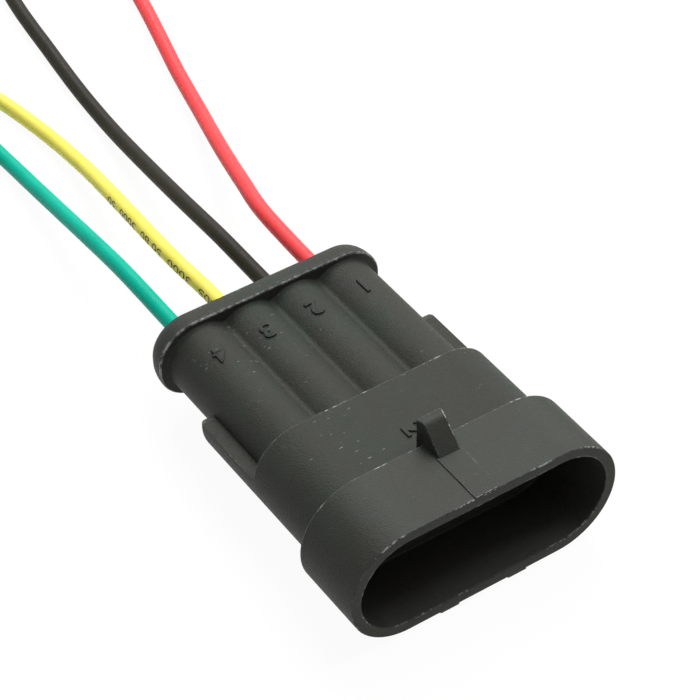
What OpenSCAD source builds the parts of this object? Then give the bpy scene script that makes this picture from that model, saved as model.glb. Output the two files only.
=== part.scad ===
// Sealed four-way wire-to-wire connector, male-tab half, with a short pigtail on each circuit.
//
// Frame: the mating mouth faces -Y, the wires leave along +Y and +Z is up, so the latch ramp is on top.
// The origin is on the surface the connector stands on, below the middle of the housing.
// All parts are drawn about the housing's own axis, with the rim of the mouth at y = 0, and placed() moves them
// to their height. Circuits are numbered from +X to -X: 1 red, 2 black, 3 yellow, 4 green.

/* [Circuits] */
// Distance between neighbouring circuits
pitch = 6; // [5.8:0.1:7]
// Height of the tabs below the housing's axis
tab_drop = 0.4; // [0.2:0.05:0.5]

/* [Mid body] */
// Distance from the outer circuit's axis to the side of the mid body
body_side = 5.85; // [5.6:0.05:7]
// Height of the mid body
body_h = 11.1; // [10.6:0.1:13]
// Length of the mid body behind the front shroud
body_len = 11.1; // [10.5:0.1:14]

/* [Front shroud] */
// Step from the mid body out to the front shroud, all round
shroud_step = 1.5; // [1.2:0.05:2.5]
// Length of the front shroud
shroud_len = 9.25; // [8.5:0.05:12]
// Wall of the front shroud and of the web behind it
wall = 1.25; // [0.9:0.05:1.5]
// Chamfer on the inner edge of the mouth
rim_chamfer = 0.15; // [0.1:0.05:0.5]
// Rounding of the outer edges of the shroud and the mid body
edge_r = 0.4; // [0.1:0.05:0.8]

/* [Pocket behind the mouth] */
// Wall left beside the pocket at the ends of the mid body
pocket_side_wall = 1.95; // [1.4:0.05:2.4]
// Wall left above and below the pocket
pocket_top_wall = 1.55; // [1.2:0.05:1.8]
// Corner radius of the pocket
pocket_r = 3.2; // [2:0.1:3.6]
// Distance from the rim to the floor of the pocket
pocket_depth = 16.5; // [16:0.1:18]
// Thickness of the interface wall behind the pocket
interface_t = 1.2; // [1:0.1:1.8]

/* [Barrels and flange] */
// Outside radius of one barrel
barrel_r = 4.2; // [3.9:0.05:4.8]
// Length of the barrels
barrel_len = 19.45; // [19:0.05:26]
// Height of the web that joins the barrels, as seen in the grooves
groove_h = 6.3; // [5:0.1:7]
// How far the rear flange stands out beyond the outer barrels
flange_side = 1; // [0.6:0.05:2]
// How far the flange stands out above and below the barrels
flange_top = 0.7; // [0.3:0.05:1.5]
// Thickness of the flange
flange_t = 2.8; // [2:0.1:4]
// Corner radius of the flange
flange_r = 4.65; // [3:0.05:4.8]
// How far the flange's outline draws in as its long rounding reaches the rear face
flange_dome = 1.1; // [0.3:0.1:1.4]

/* [Latch ramp, keels and clip rails] */
// Width of the latch ramp's slope
ramp_w = 2.6; // [2:0.1:5]
// How far the ramp widens on each side toward its catching face
ramp_flare = 0.25; // [0.1:0.05:0.8]
// Height of the ramp above the front shroud
ramp_h = 2.8; // [2:0.1:4]
// How far the ramp's catching face stands behind the front shroud
ramp_back = 0.95; // [0.5:0.05:2]
// Length of the flat on top of the ramp
ramp_top = 1.1; // [0.6:0.1:2]
// Length of the ramp's slope
ramp_slope = 2.7; // [2:0.1:4]
// Height of the low strip between the ramp and the rim
strip_h = 0.15; // [0.1:0.05:0.4]
// How far the low strip stands out beside the ramp's slope
strip_side = 0.2; // [0.1:0.05:0.6]
// Width of the two keels under the shroud
keel_w = 2.35; // [1.5:0.05:3.5]
// Height of the keels
keel_h = 0.5; // [0.3:0.05:1.2]
// Distance of each keel from the middle
keel_x = 4.22; // [3:0.01:7]
// Length of the clip rails behind the mid body
rail_len = 10.25; // [6:0.05:13]
// Height of the clip rails' flat top above the axis
rail_top = 0.55; // [0:0.05:1.2]
// Rounding of the rails' rear corners, seen from above
rail_corner = 0.55; // [0.3:0.05:1.2]

/* [Tab contacts] */
// Width of a tab
tab_w = 1.5; // [1.2:0.1:1.6]
// Thickness of a tab
tab_t = 0.6; // [0.5:0.05:0.8]
// Distance of the tab tips behind the rim
tab_recess = 6; // [4:0.1:8]
// Length of the bevelled tip
tip_len = 0.9; // [0.5:0.1:1.4]
// Thickness of the sheet that the contacts are folded from
sheet_t = 0.3; // [0.2:0.05:0.35]
// Width and height of the contact's box
box_w = 2.2; // [2.1:0.05:2.4]
// Length of the contact's box
box_len = 6.4; // [5.5:0.1:7]
// Length of the conductor crimp
wire_crimp_len = 3; // [2:0.1:3.5]
// Length of the seal crimp
seal_crimp_len = 2; // [1.5:0.1:2.2]
// Length of each neck between box and crimps
neck_len = 0.8; // [0.6:0.1:1.2]

/* [Secondary lock] */
// Thickness of the lock plate
lock_t = 3; // [2.5:0.1:3.2]
// Gap between the lock plate and the pocket's side walls
lock_side_gap = 0.55; // [0.3:0.05:0.8]
// Gap between the lock plate and the pocket's ceiling and floor
lock_top_gap = 0.4; // [0.2:0.05:0.5]
// Gap behind the lock plate when it is home
lock_seat = 0.1; // [0.05:0.05:0.3]
// Clearance round everything that passes through the lock plate
lock_fit = 0.15; // [0.1:0.05:0.25]
// Travel of the plate from home to its pre-lock position
lock_travel = 1.6; // [1:0.1:2]
// Thickness of each lock blade
blade_t = 0.7; // [0.5:0.05:0.8]
// Width of each lock blade and of the fingers that it blocks
blade_w = 1.6; // [1.2:0.1:2]
// Length of the lock blades
blade_len = 5.6; // [4:0.1:6]

/* [Wires and seals] */
// Diameter of the insulation
wire_d = 1.9; // [1.4:0.1:2.1]
// Diameter of the stranded conductor
core_d = 0.95; // [0.6:0.05:1.1]
// Radius of the seal bores
bore_r = 2.5; // [2.3:0.05:2.7]
// Chamfer at the mouth of each seal bore
bore_chamfer = 0.5; // [0.2:0.1:0.8]
// Length of a seal's ribbed body
seal_len = 7; // [5:0.1:7.5]
// Number of ribs on a seal
seal_ribs = 3; // [2:1:4]
// Depth of the grooves between the ribs
seal_groove = 0.4; // [0.2:0.05:0.6]
// Gap between the ribs and the bore, and between the wire and the seal
seal_fit = 0.04; // [0.02:0.01:0.06]
// Bare length at the free end of each wire
strip_len = 5; // [3:1:8]

/* [Hidden] */
$fn = 64;
ARC_STEPS = 5;
SIDES = [-1, 1];
CIRCUITS = 4;

// widths and heights
row_w = (CIRCUITS - 1) * pitch;
body_w = row_w + 2 * body_side;
mouth_w = body_w + 2 * shroud_step;
mouth_h = body_h + 2 * shroud_step;
flange_w = row_w + 2 * (barrel_r + flange_side);
flange_h = 2 * (barrel_r + flange_top);
pocket_w = body_w - 2 * pocket_side_wall;
pocket_h = body_h - 2 * pocket_top_wall;
axis_z = mouth_h / 2 + keel_h;

// stations along the housing, from the rim
shoulder_y = shroud_len - wall;
body_end = shroud_len + body_len;
flange_y = body_end + barrel_len;
total_len = flange_y + flange_t;
cavity_y = pocket_depth + interface_t;
lock_y = pocket_depth - lock_seat - lock_t;
post_y = lock_y + lock_t - lock_travel + lock_seat;
ramp_y = shroud_len + ramp_back;

// stations along a contact
contact_gap = 0.1;
box_y = cavity_y + contact_gap;
wire_crimp_y = box_y + box_len + neck_len;
seal_crimp_y = wire_crimp_y + wire_crimp_len + neck_len;
bore_y = seal_crimp_y - neck_len / 2;
seal_neck_r = wire_d / 2 + 0.45;
seal_y = seal_crimp_y + seal_crimp_len + 0.2;
insulation_y = seal_crimp_y + 0.8;

// heights inside a circuit's cavity, from the axis
tab_z = -tab_drop;
box_low = tab_z - 0.8;
box_high = box_low + box_w;
finger_gap = 0.2;
finger_t = 0.6;
finger_z = box_high + finger_gap;
nose_len = 1.2;
nose_drop = finger_gap + 0.5;
blade_z = finger_z + finger_t + lock_fit;
cavity_w = box_w + 2 * 0.2;
cavity_low = box_low - 0.15;
cavity_high = blade_z + blade_t + lock_fit;

// openings in the lock plate, from the middle of its face
lock_r = 2.8;
rib_t = 0.7;
rib_slot = [1.26, 3.9];
rib_slot_z = 0.13;
post_w = 0.8;
post_window = [1.1, 1.6];
post_window_z = 0.17;
key_w = 0.95;
key_h = 1.6;
key_len = 4.5;
key_slot_w = 1.3;
key_slot_top = -1.2;
top_notch = [1.64, 0.9];
foot_notch = [3.07, 0.3];
floor_recess = [2.95, 0.25];

// Free routes of the wires, as [across, behind the flange, height above the resting surface].
// Each starts on its circuit's axis, sags to the surface and lies on it to where it is stripped.
RED_ROUTE = [
    [9.6, 14, 7.2], [11, 20, 6.2], [13.8, 30, 4], [16.8, 40, 2], [19.4, 50, 1.1],
    [21.8, 59, 1], [24.2, 69, 1], [26, 80, 1], [27, 92, 1]
];
BLACK_ROUTE = [
    [3.2, 13, 7.3], [3.9, 22, 5.8], [5.2, 33, 3.4], [6.4, 44, 1.5], [7.3, 54, 1],
    [8.4, 64, 1], [9.6, 74, 1], [11.6, 84, 1], [14, 93.5, 1]
];
YELLOW_ROUTE = [
    [-3.2, 12, 7.4], [-2.7, 19, 6.4], [-1.6, 28, 4.5], [-0.6, 37, 2.6], [-0.3, 45, 1.3],
    [-0.8, 51, 1], [-1.8, 57, 1], [-4.4, 69, 1], [-6, 81, 1], [-6.4, 93.5, 1]
];
GREEN_ROUTE = [
    [-8.8, 14, 7.2], [-8.4, 22, 5.9], [-7.7, 31, 3.8], [-7.1, 40, 1.9], [-7, 47, 1.1],
    [-7.6, 56, 1], [-9.8, 67, 1], [-13, 80, 1], [-16.6, 93, 1]
];
STRAIGHT_OUT = 5;
SPLINE_STEPS = 2;
TUBE_SIDES = 8;

HOUSING_COLOR = [0.08, 0.085, 0.08];
LOCK_COLOR = [0.38, 0.09, 0.09];
TIN_COLOR = [0.8, 0.79, 0.76];
COPPER_COLOR = [0.82, 0.72, 0.6];
SEAL_COLOR = [0.75, 0.62, 0.2];
RED = [0.85, 0.13, 0.15];
BLACK = [0.06, 0.06, 0.07];
YELLOW = [0.95, 0.83, 0.15];
GREEN = [0.05, 0.6, 0.42];

// Where circuit i, from 1 to 4, lies across the housing
function circuit_x(i) = row_w / 2 - (i - 1) * pitch;

// Points [inset, y] of a rounding that closes an outline at y = y1: r deep, and as long as it is deep or longer
function round_end(r, y1, length = 0) = let (l = max(length, r))
    [for (i = [0:ARC_STEPS]) let (a = 90 * i / ARC_STEPS) [r * (1 - cos(a)), y1 - l * (1 - sin(a))]];

// Points [inset, y] of a quarter round of radius r that opens an outline at y = y0
function round_start(r, y0) =
    [for (i = [0:ARC_STEPS]) let (a = 90 * i / ARC_STEPS) [r * (1 - sin(a)), y0 + r * (1 - cos(a))]];

// Moves what is drawn about the housing's axis to its place in the part's frame
module placed() {
    translate([0, -total_len / 2, axis_z]) children();
}

// Extrudes an outline in X and Z from y0 to y1
module along(y0, y1) {
    translate([0, y1, 0]) rotate([90, 0, 0]) linear_extrude(y1 - y0) children();
}

// Rectangle with true round corners, centred
module rounded_outline(w, h, r) {
    square([w - 2 * r, h], center = true);
    square([w, h - 2 * r], center = true);
    for (sx = SIDES, sz = SIDES) translate([sx * (w / 2 - r), sz * (h / 2 - r)]) circle(r);
}

// Outline with straight sides and true half-round ends, centred
module slot_outline(w, h) {
    square([w - h, h], center = true);
    for (s = SIDES) translate([s * (w - h) / 2, 0]) circle(h / 2);
}

// Section through the middle of a rounded block whose half size shrinks by each point's inset
function section(half, points) = concat(
    [for (p = points) [half - p[0], p[1]]],
    [for (i = [len(points) - 1:-1:0]) [points[i][0] - half, points[i][1]]]
);

// Block along Y with a rounded-rectangle outline, inset along its length as the points [inset, y] say
module rounded_block(w, h, r, points) {
    first = points[0][1];
    last = points[len(points) - 1][1];
    corner = concat([[0, first]], [for (p = points) [r - p[0], p[1]]], [[0, last]]);
    for (sx = SIDES, sz = SIDES) translate([sx * (w / 2 - r), 0, sz * (h / 2 - r)])
        rotate([-90, 0, 0]) rotate_extrude() polygon(corner);
    rotate([0, 90, 0]) linear_extrude(w - 2 * r, center = true) polygon(section(h / 2, points));
    if (h > 2 * r)
        linear_extrude(h - 2 * r, center = true) polygon(section(w / 2, points));
}

// Turns a profile of [radius, y] points about the axis of one circuit
module turned(x, points) {
    translate([x, 0, 0]) rotate([-90, 0, 0]) rotate_extrude() polygon(points);
}

// Outside of the front shroud and of the mid body behind it
module shells() {
    rounded_block(mouth_w, mouth_h, mouth_h / 2,
        concat(round_start(edge_r / 2, 0), round_end(edge_r, shroud_len)));
    rounded_block(body_w, body_h, body_h / 2,
        concat([[0, shoulder_y]], round_end(edge_r, body_end)));
}

// Four merged barrels and the flange that closes them at the rear
module barrels() {
    along(body_end - edge_r, flange_y + flange_t / 2) {
        for (i = [1:CIRCUITS]) translate([circuit_x(i), 0]) circle(barrel_r);
        square([row_w, groove_h], center = true);
    }
    rounded_block(flange_w, flange_h, flange_r,
        concat(round_start(edge_r / 2, flange_y), round_end(flange_dome, total_len, flange_t - edge_r / 2)));
}

// Ramp that the mating half's latch rides over and hooks behind, on its low strip
module latch_ramp() {
    top = mouth_h / 2 + ramp_h;
    foot = ramp_y - ramp_top - ramp_slope;
    strip = mouth_h / 2 + strip_h;
    soft = edge_r / 2;
    profile = [
        [ramp_y, body_h / 2 - wall / 2], [ramp_y, top - soft], [ramp_y - soft, top],
        [ramp_y - ramp_top, top], [ramp_y - ramp_top - soft, top - soft / 2],
        [foot, strip], [foot, mouth_h / 2 - wall / 2],
        [shoulder_y + wall / 2, mouth_h / 2 - wall / 2], [shoulder_y + wall / 2, body_h / 2 - wall / 2]
    ];
    plan = [
        [-ramp_w / 2, foot - soft], [ramp_w / 2, foot - soft], [ramp_w / 2, ramp_y - ramp_top],
        [ramp_w / 2 + ramp_flare, ramp_y], [-ramp_w / 2 - ramp_flare, ramp_y], [-ramp_w / 2, ramp_y - ramp_top]
    ];
    intersection() {
        rotate([90, 0, 90]) linear_extrude(ramp_w + 4 * ramp_flare, center = true) polygon(profile);
        linear_extrude(top + soft) polygon(plan);
    }
    strip_w = ramp_w + 2 * strip_side;
    translate([-strip_w / 2, 0, mouth_h / 2 - wall / 2])
        cube([strip_w, shroud_len - edge_r, wall / 2 + strip_h]);
}

// Low keels under the front shroud, on which the connector stands
module keels() {
    for (s = SIDES) translate([s * keel_x - keel_w / 2, edge_r / 2, -mouth_h / 2 - keel_h])
        cube([keel_w, shroud_len - edge_r / 2, keel_h + wall / 2]);
}

// Rails beside the outer barrels that a mounting clip slides onto
module clip_rails() {
    intersection() {
        along(body_end - edge_r, body_end + rail_len) slot_outline(body_w, body_h);
        translate([0, body_end, rail_top - body_h]) linear_extrude(body_h) difference() {
            rounded_outline(body_w, 2 * rail_len, rail_corner);
            square([row_w, 3 * rail_len], center = true);
        }
    }
}

// Opening for the mating half and the pocket behind it
module mouth_space() {
    bore_w = mouth_w - 2 * wall;
    bore_h = mouth_h - 2 * wall;
    along(-wall, shoulder_y) slot_outline(bore_w, bore_h);
    rounded_block(bore_w + 2 * rim_chamfer, bore_h + 2 * rim_chamfer, bore_h / 2 + rim_chamfer,
        [[0, -wall], [0, 0], [rim_chamfer, rim_chamfer]]);
    along(shoulder_y - wall / 2, pocket_depth) rounded_outline(pocket_w, pocket_h, pocket_r);
    for (s = SIDES) translate([s * pitch / 2 - floor_recess[0] / 2, shoulder_y - wall, -pocket_h / 2 - floor_recess[1]])
        cube([floor_recess[0], pocket_depth - shoulder_y + wall, pocket_h / 2]);
}

// Space behind the interface wall for one circuit: tab slot, blade window, contact cavity and seal bore
module circuit_space(x) {
    slot_w = tab_w + 2 * lock_fit;
    slot_h = tab_t + 2 * lock_fit;
    window_w = blade_w + 2 * lock_fit;
    window_h = blade_t + 2 * lock_fit;
    translate([x - slot_w / 2, pocket_depth - wall, tab_z - slot_h / 2])
        cube([slot_w, interface_t + 2 * wall, slot_h]);
    translate([x - window_w / 2, pocket_depth - wall, blade_z - lock_fit])
        cube([window_w, interface_t + 2 * wall, window_h]);
    translate([x - cavity_w / 2, cavity_y, cavity_low])
        cube([cavity_w, bore_y - cavity_y + contact_gap, cavity_high - cavity_low]);
    turned(x, [
        [0, bore_y], [bore_r, bore_y], [bore_r, total_len - bore_chamfer],
        [bore_r + bore_chamfer, total_len], [bore_r + bore_chamfer, total_len + wall], [0, total_len + wall]
    ]);
}

// Flexible finger in a cavity that hooks behind the contact's box
module locking_finger(x) {
    hook_y = box_y + box_len + contact_gap;
    profile = [
        [pocket_depth, finger_z], [hook_y, finger_z], [hook_y, finger_z - nose_drop],
        [hook_y + nose_len, finger_z], [hook_y + nose_len, finger_z + finger_t],
        [pocket_depth, finger_z + finger_t]
    ];
    translate([x, 0, 0]) rotate([90, 0, 90]) linear_extrude(blade_w, center = true) polygon(profile);
}

// Rib, post and key that stand in the pocket and guide the lock plate
module pocket_guides() {
    rib_x = -pitch - rib_slot[0] / 2 + lock_fit;
    rib_low = rib_slot_z - rib_slot[1] / 2 + lock_fit;
    rib_h = rib_slot[1] - 5 * lock_fit;
    translate([rib_x, lock_y + lock_fit, rib_low])
        cube([rib_t, pocket_depth - lock_y, rib_h]);
    translate([-post_w / 2, post_y, post_window_z - post_window[1] / 2 + lock_fit])
        cube([post_w, pocket_depth + wall / 2 - post_y, post_window[1] - 2 * lock_fit]);
    key_r = key_w / 2;
    translate([pitch, 0, -pocket_h / 2]) along(lock_y - key_len, pocket_depth + wall / 2) {
        translate([0, key_h - key_r]) circle(key_r);
        translate([-key_r, -wall / 2]) square([key_w, key_h - key_r + wall / 2]);
    }
}

module housing() {
    color(HOUSING_COLOR) placed() {
        difference() {
            union() {
                shells();
                barrels();
                latch_ramp();
                keels();
                clip_rails();
            }
            mouth_space();
            for (i = [1:CIRCUITS]) circuit_space(circuit_x(i));
        }
        for (i = [1:CIRCUITS]) locking_finger(circuit_x(i));
        pocket_guides();
    }
}

// Cuts through the lock plate for the tabs and for the housing's guides
module lock_openings() {
    lock_h = pocket_h - 2 * lock_top_gap;
    for (i = [1:CIRCUITS]) translate([circuit_x(i), tab_z])
        square([tab_w + 2 * lock_fit, tab_t + 2 * lock_fit], center = true);
    translate([-pitch, rib_slot_z]) square(rib_slot, center = true);
    translate([0, post_window_z]) square(post_window, center = true);
    translate([pitch - key_slot_w / 2, -lock_h]) square([key_slot_w, lock_h + key_slot_top]);
    for (s = SIDES) translate([s * pitch / 2 - top_notch[0] / 2, lock_h / 2 - top_notch[1]])
        square([top_notch[0], lock_h]);
    for (x = [-pitch, 0]) translate([x - foot_notch[0] / 2, foot_notch[1] - 1.5 * lock_h])
        square([foot_notch[0], lock_h]);
}

module secondary_lock() {
    lock_w = pocket_w - 2 * lock_side_gap;
    lock_h = pocket_h - 2 * lock_top_gap;
    color(LOCK_COLOR) placed() {
        along(lock_y, lock_y + lock_t) difference() {
            rounded_outline(lock_w, lock_h, lock_r);
            lock_openings();
        }
        for (i = [1:CIRCUITS]) translate([circuit_x(i) - blade_w / 2, lock_y + lock_t / 2, blade_z])
            cube([blade_w, lock_t / 2 + blade_len, blade_t]);
    }
}

// Folded tab contact: bevelled tab, box, conductor crimp and seal crimp in one strip
module tab_contact(i) {
    x = circuit_x(i);
    core_r = core_d / 2;
    mid = box_low + box_w / 2;
    crimp_r = core_r + sheet_t;
    clasp_r = seal_neck_r + sheet_t;
    box_end = box_y + box_len;
    crimp_end = wire_crimp_y + wire_crimp_len;
    tab_side = [
        [tab_recess, -tab_t / 8], [tab_recess, tab_t / 8], [tab_recess + tip_len, tab_t / 2],
        [box_y + box_len / 4, tab_t / 2], [box_y + box_len / 4, -tab_t / 2], [tab_recess + tip_len, -tab_t / 2]
    ];
    tab_plan = [
        [-tab_w / 4, tab_recess], [tab_w / 4, tab_recess], [tab_w / 2, tab_recess + tip_len],
        [tab_w / 2, box_y + sheet_t], [-tab_w / 2, box_y + sheet_t], [-tab_w / 2, tab_recess + tip_len]
    ];
    strip_side = [
        [box_end - neck_len, box_low], [box_end, box_low], [wire_crimp_y + sheet_t, -crimp_r],
        [crimp_end - sheet_t, -crimp_r], [seal_crimp_y + sheet_t, -clasp_r],
        [seal_crimp_y + sheet_t, sheet_t - clasp_r], [crimp_end - sheet_t, sheet_t - crimp_r],
        [wire_crimp_y + sheet_t, sheet_t - crimp_r], [box_end, box_low + sheet_t],
        [box_end - neck_len, box_low + sheet_t]
    ];
    color(TIN_COLOR) placed() {
        translate([x, 0, 0]) {
            translate([0, 0, tab_z]) intersection() {
                rotate([90, 0, 90]) linear_extrude(tab_w, center = true) polygon(tab_side);
                linear_extrude(2 * tab_t, center = true) polygon(tab_plan);
            }
            difference() {
                translate([-box_w / 2, box_y, box_low]) cube([box_w, box_len, box_w]);
                translate([sheet_t - box_w / 2, box_y + sheet_t, box_low + sheet_t])
                    cube([box_w - 2 * sheet_t, box_len, box_w - 2 * sheet_t]);
            }
            translate([-box_w / 2 + sheet_t / 2, box_y + sheet_t / 2, tab_z - tab_t / 2])
                cube([box_w - sheet_t, box_len / 4, tab_t]);
            rotate([90, 0, 90]) linear_extrude(core_d, center = true) polygon(strip_side);
        }
        turned(x, [
            [core_r, wire_crimp_y], [crimp_r, wire_crimp_y], [crimp_r, crimp_end], [core_r, crimp_end]
        ]);
        turned(x, [
            [seal_neck_r, seal_crimp_y], [clasp_r, seal_crimp_y],
            [clasp_r, seal_crimp_y + seal_crimp_len], [seal_neck_r, seal_crimp_y + seal_crimp_len]
        ]);
    }
}

// Ribbed single-wire seal: a neck held in the contact's seal crimp and a ribbed body in the bore
module wire_seal(i) {
    rib_r = bore_r - seal_fit;
    hole_r = wire_d / 2 + seal_fit;
    rib_pitch = seal_len / seal_ribs;
    ribs = [for (n = [0:seal_ribs - 1]) each [
        [rib_r - seal_groove, seal_y + n * rib_pitch],
        [rib_r, seal_y + (n + 0.3) * rib_pitch],
        [rib_r, seal_y + (n + 0.6) * rib_pitch],
        [rib_r - seal_groove, seal_y + (n + 0.9) * rib_pitch]
    ]];
    profile = concat(
        [[hole_r, seal_crimp_y], [seal_neck_r - seal_fit, seal_crimp_y], [seal_neck_r - seal_fit, seal_y]],
        ribs,
        [[hole_r, seal_y + seal_len - 0.1 * rib_pitch]]
    );
    color(SEAL_COLOR) placed() turned(circuit_x(i), profile);
}

// Stranded core in the conductor crimp, up to where the insulation starts
module crimped_core(i) {
    color(COPPER_COLOR) placed()
        translate([circuit_x(i), 0, 0]) along(wire_crimp_y - neck_len / 2, insulation_y) circle(core_d / 2);
}

// Point at parameter t between b and c on a smooth curve through a, b, c and d
function spline_point(a, b, c, d, t) =
    0.5 * (2 * b + (c - a) * t + (2 * a - 5 * b + 4 * c - d) * t * t + (3 * b - a - 3 * c + d) * t * t * t);

// Smooth curve through a list of points
function spline(p) = concat(
    [for (i = [0:len(p) - 2], s = [0:SPLINE_STEPS - 1])
        spline_point(p[max(i - 1, 0)], p[i], p[i + 1], p[min(i + 2, len(p) - 1)], s / SPLINE_STEPS)],
    [p[len(p) - 1]]
);

// Route of a wire in the part's frame, along the whole of its insulation
function route(i, free) = let (
    x = circuit_x(i),
    rear = total_len / 2,
    start = [[x, insulation_y - rear, axis_z]],
    leave = [[x, rear, axis_z], [x, rear + STRAIGHT_OUT, axis_z]],
    rest = [for (p = free) [p[0], p[1] + rear, p[2]]]
) concat(start, spline(concat(leave, rest)));

// Ring of points round a centre, square to a direction
function ring(centre, dir, r) = let (
    ahead = dir / norm(dir),
    side = cross(ahead, [0, 0, 1]) / norm(cross(ahead, [0, 0, 1])),
    up = cross(side, ahead)
) [for (k = [0:TUBE_SIDES - 1]) let (a = 360 * k / TUBE_SIDES) centre + r * (cos(a) * side + sin(a) * up)];

// Plain tube of radius r along a list of centres
module tube(centres, r) {
    last = len(centres) - 1;
    points = [for (j = [0:last]) each
        ring(centres[j], centres[min(j + 1, last)] - centres[max(j - 1, 0)], r)];
    sides = [for (j = [0:last - 1], k = [0:TUBE_SIDES - 1]) let (n = (k + 1) % TUBE_SIDES) [
        j * TUBE_SIDES + k, j * TUBE_SIDES + n, (j + 1) * TUBE_SIDES + n, (j + 1) * TUBE_SIDES + k
    ]];
    near_cap = [[for (k = [TUBE_SIDES - 1:-1:0]) k]];
    far_cap = [[for (k = [0:TUBE_SIDES - 1]) last * TUBE_SIDES + k]];
    polyhedron(points, concat(near_cap, sides, far_cap));
}

module insulation(i, free, tint) {
    color(tint) tube(route(i, free), wire_d / 2);
}

// Stranded core that carries straight on where the insulation ends
module bare_end(i, free) {
    centres = route(i, free);
    cut = centres[len(centres) - 1];
    ahead = cut - centres[len(centres) - 2];
    color(COPPER_COLOR) tube([cut, cut + strip_len * ahead / norm(ahead)], core_d / 2);
}

housing();
secondary_lock();
tab_contact(1);  // tab_contact_1
tab_contact(2);  // tab_contact_2
tab_contact(3);  // tab_contact_3
tab_contact(4);  // tab_contact_4
wire_seal(1);  // wire_seal_1
wire_seal(2);  // wire_seal_2
wire_seal(3);  // wire_seal_3
wire_seal(4);  // wire_seal_4
insulation(1, RED_ROUTE, RED);  // wire_red
insulation(2, BLACK_ROUTE, BLACK);  // wire_black
insulation(3, YELLOW_ROUTE, YELLOW);  // wire_yellow
insulation(4, GREEN_ROUTE, GREEN);  // wire_green
crimped_core(1);  // crimped_core_red
crimped_core(2);  // crimped_core_black
crimped_core(3);  // crimped_core_yellow
crimped_core(4);  // crimped_core_green
bare_end(1, RED_ROUTE);  // bare_end_red
bare_end(2, BLACK_ROUTE);  // bare_end_black
bare_end(3, YELLOW_ROUTE);  // bare_end_yellow
bare_end(4, GREEN_ROUTE);  // bare_end_green
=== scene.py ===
"""Looks of a sealed four-way connector, male-tab half, with its four loose leads.

Lengths are written in millimetres and leave this file in metres. The connector is drawn about its own
axis with the rim of the mouth at y = 0, as in the part's source, and Datum moves it into the part's frame.
"""

import logging  # noqa: E402
import math  # noqa: E402
from collections.abc import Iterable, Sequence  # noqa: E402
from dataclasses import dataclass  # noqa: E402
from enum import Enum  # noqa: E402

import bmesh  # noqa: E402
import bpy  # noqa: E402
from mathutils import Matrix, Vector  # noqa: E402


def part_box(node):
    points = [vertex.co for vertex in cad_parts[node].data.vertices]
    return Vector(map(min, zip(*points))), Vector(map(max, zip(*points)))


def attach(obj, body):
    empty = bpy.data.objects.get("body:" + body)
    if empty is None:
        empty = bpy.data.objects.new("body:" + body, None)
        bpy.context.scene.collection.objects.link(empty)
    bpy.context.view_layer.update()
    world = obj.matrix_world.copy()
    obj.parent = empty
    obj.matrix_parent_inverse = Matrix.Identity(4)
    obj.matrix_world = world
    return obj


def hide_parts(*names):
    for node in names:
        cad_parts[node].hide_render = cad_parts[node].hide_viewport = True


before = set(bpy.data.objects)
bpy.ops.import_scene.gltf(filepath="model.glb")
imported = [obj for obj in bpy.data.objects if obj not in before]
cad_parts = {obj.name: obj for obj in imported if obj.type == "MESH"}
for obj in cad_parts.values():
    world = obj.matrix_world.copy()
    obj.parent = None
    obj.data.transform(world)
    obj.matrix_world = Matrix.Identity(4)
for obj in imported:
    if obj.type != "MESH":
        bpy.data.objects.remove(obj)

log = logging.getLogger("connector")

MM = 0.001
PITCH = 6.0
CIRCUITS = tuple(PITCH * place for place in (1.5, 0.5, -0.5, -1.5))
LENGTH = 42.6
MOUTH_HEIGHT = 14.1
KEEL_DROP = 0.5
SAME_SPOT = 1e-7
WHITE = (1.0, 1.0, 1.0)

Point2 = tuple[float, float]
Point3 = tuple[float, float, float]
Span = tuple[float, float]
Colour = tuple[float, float, float]


# ---------------------------------------- frame


@dataclass(frozen=True)
class Datum:
    """Where the connector's own axis and rim lie in the part's frame."""

    rim_y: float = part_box("housing")[0].y / MM
    axis_z: float = MOUTH_HEIGHT / 2 + KEEL_DROP

    def place(self, x: float, y: float, z: float) -> Vector:
        """Moves a point from the connector's own axes into the part's frame.

        Args:
            x: Distance across the connector, in millimetres.
            y: Distance behind the rim, in millimetres.
            z: Height above the axis, in millimetres.

        Returns:
            The point in the part's frame, in metres.
        """
        return Vector((x, y + self.rim_y, z + self.axis_z)) * MM


DATUM = Datum()


# ---------------------------------------- node trees


@dataclass(frozen=True)
class Field:
    """A value that changes over a surface or a mesh, so that node maths reads as plain expressions."""

    tree: "Tree"
    socket: bpy.types.NodeSocket

    def maths(self, operation: str, other: "Field | float" = 0.0) -> "Field":
        """Result of one Math node whose first input is this value."""
        return self.tree.result("ShaderNodeMath", {0: self, 1: other}, operation=operation)

    def __add__(self, other: "Field | float") -> "Field":
        """Sum."""
        return self.maths("ADD", other)

    def __sub__(self, other: "Field | float") -> "Field":
        """Difference."""
        return self.maths("SUBTRACT", other)

    def __mul__(self, other: "Field | float") -> "Field":
        """Product."""
        return self.maths("MULTIPLY", other)

    def __truediv__(self, other: "Field | float") -> "Field":
        """Quotient."""
        return self.maths("DIVIDE", other)

    def remap(self, low: float, high: float, to_low: float = 0.0, to_high: float = 1.0) -> "Field":
        """Maps one range of values onto another, smoothly and clamped.

        Args:
            low: Value that becomes to_low.
            high: Value that becomes to_high.
            to_low: Result at and below low.
            to_high: Result at and above high.

        Returns:
            The mapped value.
        """
        values = {"Value": self, "From Min": low, "From Max": high, "To Min": to_low, "To Max": to_high}
        return self.tree.result("ShaderNodeMapRange", values, "Result", interpolation_type="SMOOTHSTEP")


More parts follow.
